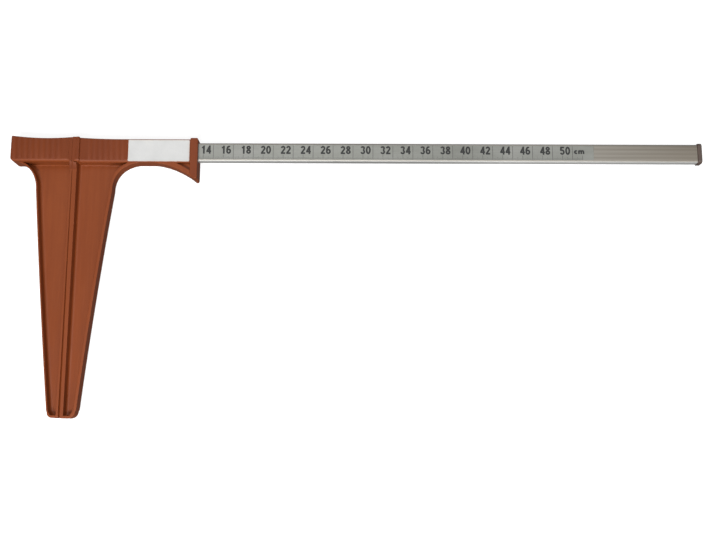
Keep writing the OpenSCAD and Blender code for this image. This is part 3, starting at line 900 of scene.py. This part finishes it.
# strokes of each digit on a cell 0.60 wide and 1 high, plain upright figures
S = 0.205
H = S / 2
DIGITS = {
    "0": [(ell(0.30, 0.50, 0.30 - H, 0.50 - H, 0, 360, 28)[:-1], True)],
    "1": [([(0.37, 0.0), (0.37, 1.0)], False), ([(0.37, 0.86), (0.29, 0.79), (0.13, 0.73)], False)],
    "2": [(ell(0.295, 0.695, 0.285 - H, 0.305 - H, 172, -32, 16) + [(0.12, 0.13)], False),
          ([(0.03, H), (0.57, H)], False)],
    "3": [(ell(0.29, 0.735, 0.27 - H, 0.265 - H, 168, -80, 14), False),
          (ell(0.29, 0.290, 0.29 - H, 0.290 - H, 88, -170, 16), False)],
    "4": [([(0.425, 0.0), (0.425, 1.0)], False), ([(0.42, 0.93), (0.10, 0.30)], False),
          ([(0.02, 0.295), (0.60, 0.295)], False)],
    "5": [([(0.53, 1 - H), (0.15, 1 - H), (0.115, 0.50)], False),
          (ell(0.285, 0.335, 0.295 - H, 0.335 - H, 132, -160, 18), False)],
    "6": [(ell(0.30, 0.325, 0.295 - H, 0.325 - H, 0, 360, 24)[:-1], True),
          (ell(0.345, 0.50, 0.335 - H, 0.50 - H, 185, 62, 14), False)],
    "7": [([(0.04, 1 - H), (0.55, 1 - H)], False), ([(0.52, 0.92), (0.34, 0.55), (0.24, 0.0)], False)],
    "8": [(ell(0.30, 0.745, 0.265 - H, 0.255 - H, 0, 360, 22)[:-1], True),
          (ell(0.30, 0.275, 0.295 - H, 0.275 - H, 0, 360, 24)[:-1], True)],
    "9": [(ell(0.30, 0.675, 0.295 - H, 0.325 - H, 0, 360, 24)[:-1], True),
          (ell(0.255, 0.50, 0.335 - H, 0.50 - H, 5, -118, 14), False)],
    "c": [(ell(0.30, 0.30, 0.28 - H, 0.30 - H, 50, 310, 16), False)],
    "m": [([(0.10, 0.0), (0.10, 0.58)], False),
          ([(0.10, 0.30)] + ell(0.26, 0.34, 0.16, 0.17, 160, 0, 8) + [(0.42, 0.0)], False),
          ([(0.42, 0.30)] + ell(0.58, 0.34, 0.16, 0.17, 160, 0, 8) + [(0.74, 0.0)], False)],
}


def write(pr, text, cx, y0, height, pitch=0.66, stretch=1.0, bold=1.0):
    """Figures centred on cx that stand on y0."""
    w = pitch * height * stretch
    total = w * (len(text) - 1) + 0.60 * height * stretch
    x = cx - total / 2
    for ch in text:
        for path, closed in DIGITS[ch]:
            pr.stroke([(x + px * height * stretch, y0 + py * height) for px, py in path], S * height * bold, closed)
        x += w


pr = Print()
for mm in range(0, 511):
    x = float(mm)
    if mm % 20 == 0:
        pr.bar(x - 0.17, x + 0.17, -7.2, 7.2)
    elif mm % 10 == 0:
        pr.bar(x - 0.15, x + 0.15, -7.2, -2.6)
    elif mm % 5 == 0:
        pr.bar(x - 0.11, x + 0.11, -7.2, -4.4)
    else:
        pr.bar(x - 0.09, x + 0.09, -7.2, -5.4)
for cm in range(2, 51, 2):
    write(pr, str(cm), cm * 10 - 7.4, -1.85, 8.5, 0.655, 0.97)
write(pr, "cm", 505.8, -0.9, 6.4, 0.60, 1.12, 1.25)
print_mesh = make(pr.v, pr.f)
place(print_mesh, "scale_print", "fixed", [], M_INK, weighted=False)

# ---- end cap --------------------------------------------------------------------------


def cap_moulding():
    o = along_x(rounded(20.6, 12, 2.6, 10), RULE_X1, RULE_X1 + 4.4)
    combine(o, [along_x(rounded(16.12, 6.12, 0.8, 6), RULE_X1 - 18, RULE_X1 + 1)], "UNION")
    combine(o, [block(RULE_X1 - 19, RULE_X1 - 1, -6.4, 6.4, RZ0 + 2.9, RZ1 - 2.9)], "DIFFERENCE")
    return tidy(o)


def cap_rule(m, p, q, a, c):
    if m.x > RULE_X1 + 4.3:
        return 1.1
    if m.x > RULE_X1 - 0.1 and not c:
        return 0.35
    return 0.25


cap = cap_moulding()
soften(cap, cap_rule, segments=4, limit=30)
place(cap, "end_cap_moulding", "fixed", ["end_cap"], M_CAP)

# ---- label ------------------------------------------------------------------------------

LX0, LX1, LY0, LY1 = 55.4, 116.6, -10.85, 11.3
lab = rounded(LX1 - LX0, LY1 - LY0, 1.0, 6)
lab = plate([(x + (LX0 + LX1) / 2, y + (LY0 + LY1) / 2) for x, y in lab], SZ1, SZ1 + 0.15)
soften(lab, lambda m, p, q, a, c: 0.05 if m.z > SZ1 + 0.1 else 0.0, segments=2, limit=40)
place(lab, "label_sheet", "slider", ["label_sticker"], M_PAPER)

# ---- glide pads ----------------------------------------------------------------------------


def pad(x0, x1, y0, y1, z0, z1, face):
    """A pad whose sliding face has a groove and rounded run-in edges."""
    o = block(x0, x1, y0, y1, z0, z1)
    cuts = []
    mid = (x0 + x1) / 2
    for cx in (mid - 4.5, mid, mid + 4.5):
        if face == "y0":
            cuts.append(block(cx - 0.5, cx + 0.5, y0 - 1, y0 + 0.25, z0 - 1, z1 + 1))
        elif face == "y1":
            cuts.append(block(cx - 0.5, cx + 0.5, y1 - 0.25, y1 + 1, z0 - 1, z1 + 1))
        elif face == "z0":
            cuts.append(block(cx - 0.5, cx + 0.5, y0 - 1, y1 + 1, z0 - 1, z0 + 0.3))
        else:
            cuts.append(block(cx - 0.5, cx + 0.5, y0 - 1, y1 + 1, z1 - 0.3, z1 + 1))
    tidy(combine(o, cuts, "DIFFERENCE"))
    return soften(o, lambda m, p, q, a, c: 0.08 if c else 0.14, segments=2)


def join(objs):
    bm = bmesh.new()
    for x in objs:
        bm.from_mesh(x.data)
    first = objs[0]
    bm.to_mesh(first.data)
    bm.free()
    for x in objs[1:]:
        bpy.data.objects.remove(x)
    return first


Z0P, Z1P = ZC - 2.26, ZC + 2.26
PADS = (("upper_left_pad", 3.64, 21.56, 9.58, 11.01, "y0"), ("lower_left_pad", 3.64, 21.56, -10.46, -9.58, "y1"),
        ("upper_right_pad", 95.64, 113.56, 9.58, 10.81, "y0"), ("lower_right_pad", 95.64, 113.56, -10.91, -9.58, "y1"))
for name, x0, x1, y0, y1, face in PADS:
    place(pad(x0, x1, y0, y1, Z0P, Z1P, face), name + "_glide", "slider", [name], M_PAD)
for name, z0, z1, face in (("front_pads", RZ1 + 0.08, RZ1 + 1.51, "z0"), ("rear_pads", RZ0 - 1.51, RZ0 - 0.08, "z1")):
    two = join([pad(x0, x1, -7.86, 7.86, z0, z1, face) for x0, x1 in ((3.64, 21.56), (95.64, 113.56))])
    place(two, name + "_glide", "slider", [name], M_PAD)

# ---- screws ----------------------------------------------------------------------------------


def lathe(profile, n=48, thread=None):
    """Closed solid of revolution about Z from (r, z) pairs. thread(r, z, angle) moves the radius."""
    verts, faces, rings = [], [], []
    for r, z in profile:
        if r < 1e-6:
            rings.append([len(verts)])
            verts.append((0, 0, z))
        else:
            ring = []
            for i in range(n):
                a = TAU * i / n
                rr = thread(r, z, a) if thread else r
                ring.append(len(verts))
                verts.append((rr * math.cos(a), rr * math.sin(a), z))
            rings.append(ring)
    for a, b in zip(rings, rings[1:]):
        for i in range(n):
            j = (i + 1) % n
            if len(a) == 1:
                faces.append((a[0], b[j], b[i]))
            elif len(b) == 1:
                faces.append((a[i], a[j], b[0]))
            else:
                faces.append((a[i], a[j], b[j], b[i]))
    return make(verts, faces)


def thread_wave(pitch, depth, z_from, z_to):
    def f(r, z, a):
        if not z_from <= z <= z_to:
            return r
        u = (z / pitch - a / TAU) % 1.0
        ridge = max(0.0, 1 - abs(u - 0.5) / 0.32)
        fade = min(1.0, (z - z_from) / pitch, (z_to - z) / pitch)
        return r - depth * (1 - ridge * fade)
    return f


def tapping_screw(x):
    dome = [(0.0, 0.5), (1.2, 0.52), (2.0, 0.62), (2.55, 0.85), (2.9, 1.2), (3.06, 1.6), (3.1, 2.0), (3.1, 2.5), (3.0, 2.69)]
    core_r = 1.5
    shank = [(core_r, 2.7)] + [(core_r, 2.8 + 0.1 * i) for i in range(63)]
    tip = [(core_r * (1 - (i / 14) ** 1.3) + 0.12, 9.0 + 0.16 * i) for i in range(1, 15)]
    o = lathe(dome + shank + tip + [(0.0, 11.38)], 48, thread_wave(1.15, 0.36, 3.0, 10.6))
    cuts = [block(-1.7, 1.7, -0.38, 0.38, 0.2, 1.5), block(-0.38, 0.38, -1.7, 1.7, 0.2, 1.5),
            plate(circle(0.8, 20), 0.2, 1.9)]
    combine(o, cuts, "DIFFERENCE")
    o.data.transform(Matrix.Translation((x, 0, 0)))
    return o


screws = join([tapping_screw(x) for x in SCREW_X])
place(screws, "fixed_jaw_screw_set", "fixed", ["fixed_jaw_screws"], M_ZINC, sharp=38)


def grub(length):
    """A slotted headless screw, its slot end at z = length."""
    r = 1.96
    prof = [(0.0, 0.0), (r - 0.55, 0.0), (r - 0.02, 0.32)]
    steps = max(8, int((length - 0.6) / 0.07))
    prof += [(r, 0.34 + (length - 0.62) * i / steps) for i in range(steps + 1)]
    prof += [(r - 0.22, length), (0.0, length)]
    o = lathe(prof, 48, thread_wave(0.7, 0.26, 0.2, length - 0.12))
    return combine(o, [block(-0.35, 0.35, -3, 3, length - 0.9, length + 1)], "DIFFERENCE")


up = grub(13.5 - 11.05)
up.data.transform(Matrix.Translation((5.6, 11.05, ZC)) @ Matrix.Rotation(-math.pi / 2, 4, "X"))
place(up, "upper_adjusting_screw_set", "slider", ["upper_adjusting_screw"], M_ZINC, sharp=38)
low_end = -flare_y(100.0) - 1.2
low = grub(low_end - 10.95)
low.data.transform(Matrix.Translation((100.0, -10.95, ZC)) @ Matrix.Rotation(math.pi / 2, 4, "X"))
place(low, "lower_adjusting_screw_set", "slider", ["lower_adjusting_screw"], M_ZINC, sharp=38)

# the core plug keeps its CAD shape
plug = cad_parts["rule_core_plug"]
plug.data.materials.clear()
plug.data.materials.append(M_CORE)

bpy.data.collections.remove(WORK)

# ---- floor, light and camera -------------------------------------------------------------------

fm = Nodes("floor_pale")
fn = fm.noise(3.0, 2.0, 0.5)
fm.base(fm.ramp(fn, [(0.3, (0.42, 0.42, 0.42, 1)), (0.7, (0.44, 0.44, 0.44, 1))]))
# a light table: it glows a little by itself, so that the shadows on it stay faint
fm.set(Roughness=0.9, Specular_IOR_Level=0.1, Emission_Color=(1, 1, 1, 1), Emission_Strength=0.68)
fme = bpy.data.meshes.new("floor")
fme.from_pydata([(-6, -6, -0.0001), (6, -6, -0.0001), (6, 6, -0.0001), (-6, 6, -0.0001)], [], [(0, 1, 2, 3)])
fme.materials.append(fm.mat)
floor = bpy.data.objects.new("floor", fme)
bpy.context.scene.collection.objects.link(floor)
floor.visible_diffuse = floor.visible_glossy = False

world = bpy.data.worlds.new("studio")
bpy.context.scene.world = world
world.use_nodes = True
world.node_tree.nodes["Background"].inputs[0].default_value = (1.0, 1.0, 1.0, 1)
world.node_tree.nodes["Background"].inputs[1].default_value = 0.18


def area(name, loc, target, size, power, shadow=True, color=(1, 1, 1)):
    d = bpy.data.lights.new(name, "AREA")
    d.shape, d.size, d.energy, d.color = "DISK", size, power, color
    d.use_shadow = shadow
    o = bpy.data.objects.new(name, d)
    bpy.context.scene.collection.objects.link(o)
    o.location = loc
    o.rotation_mode = "QUATERNION"
    o.rotation_quaternion = (Vector(target) - Vector(loc)).to_track_quat("-Z", "Y")
    return o


area("key", (0.0, -0.85, 1.25), (0.1, -0.10, 0.0), 0.45, 19.7)
area("front", (0.2, -1.75, 0.55), (0.1, -0.10, 0.0), 0.6, 16.0)
area("fill", (1.15, -0.25, 1.45), (0.1, -0.08, 0.0), 0.8, 15.0, shadow=False)
area("back", (0.0, 0.6, 1.5), (0.1, -0.05, 0.0), 0.9, 5.4)

scene = bpy.context.scene
scene.view_settings.view_transform = "Standard"
scene.view_settings.look = "None"
scene.view_settings.exposure = 0.0
scene.view_settings.gamma = 1.0

cam_data = bpy.data.cameras.new("camera")
cam_data.sensor_width, cam_data.lens = 36.0, 48.77
cam_data.clip_start, cam_data.clip_end = 0.02, 30.0
cam = bpy.data.objects.new("camera", cam_data)
scene.collection.objects.link(cam)
cam.location = (0.2854, -0.2882, 0.9510)
cam.rotation_mode = "QUATERNION"
cam.rotation_quaternion = ((Vector((0.2854, -0.1198, 0.015)) - cam.location).to_track_quat("-Z", "Y")
                           @ Quaternion((0, 0, 1), math.radians(0.19)))
scene.camera = cam
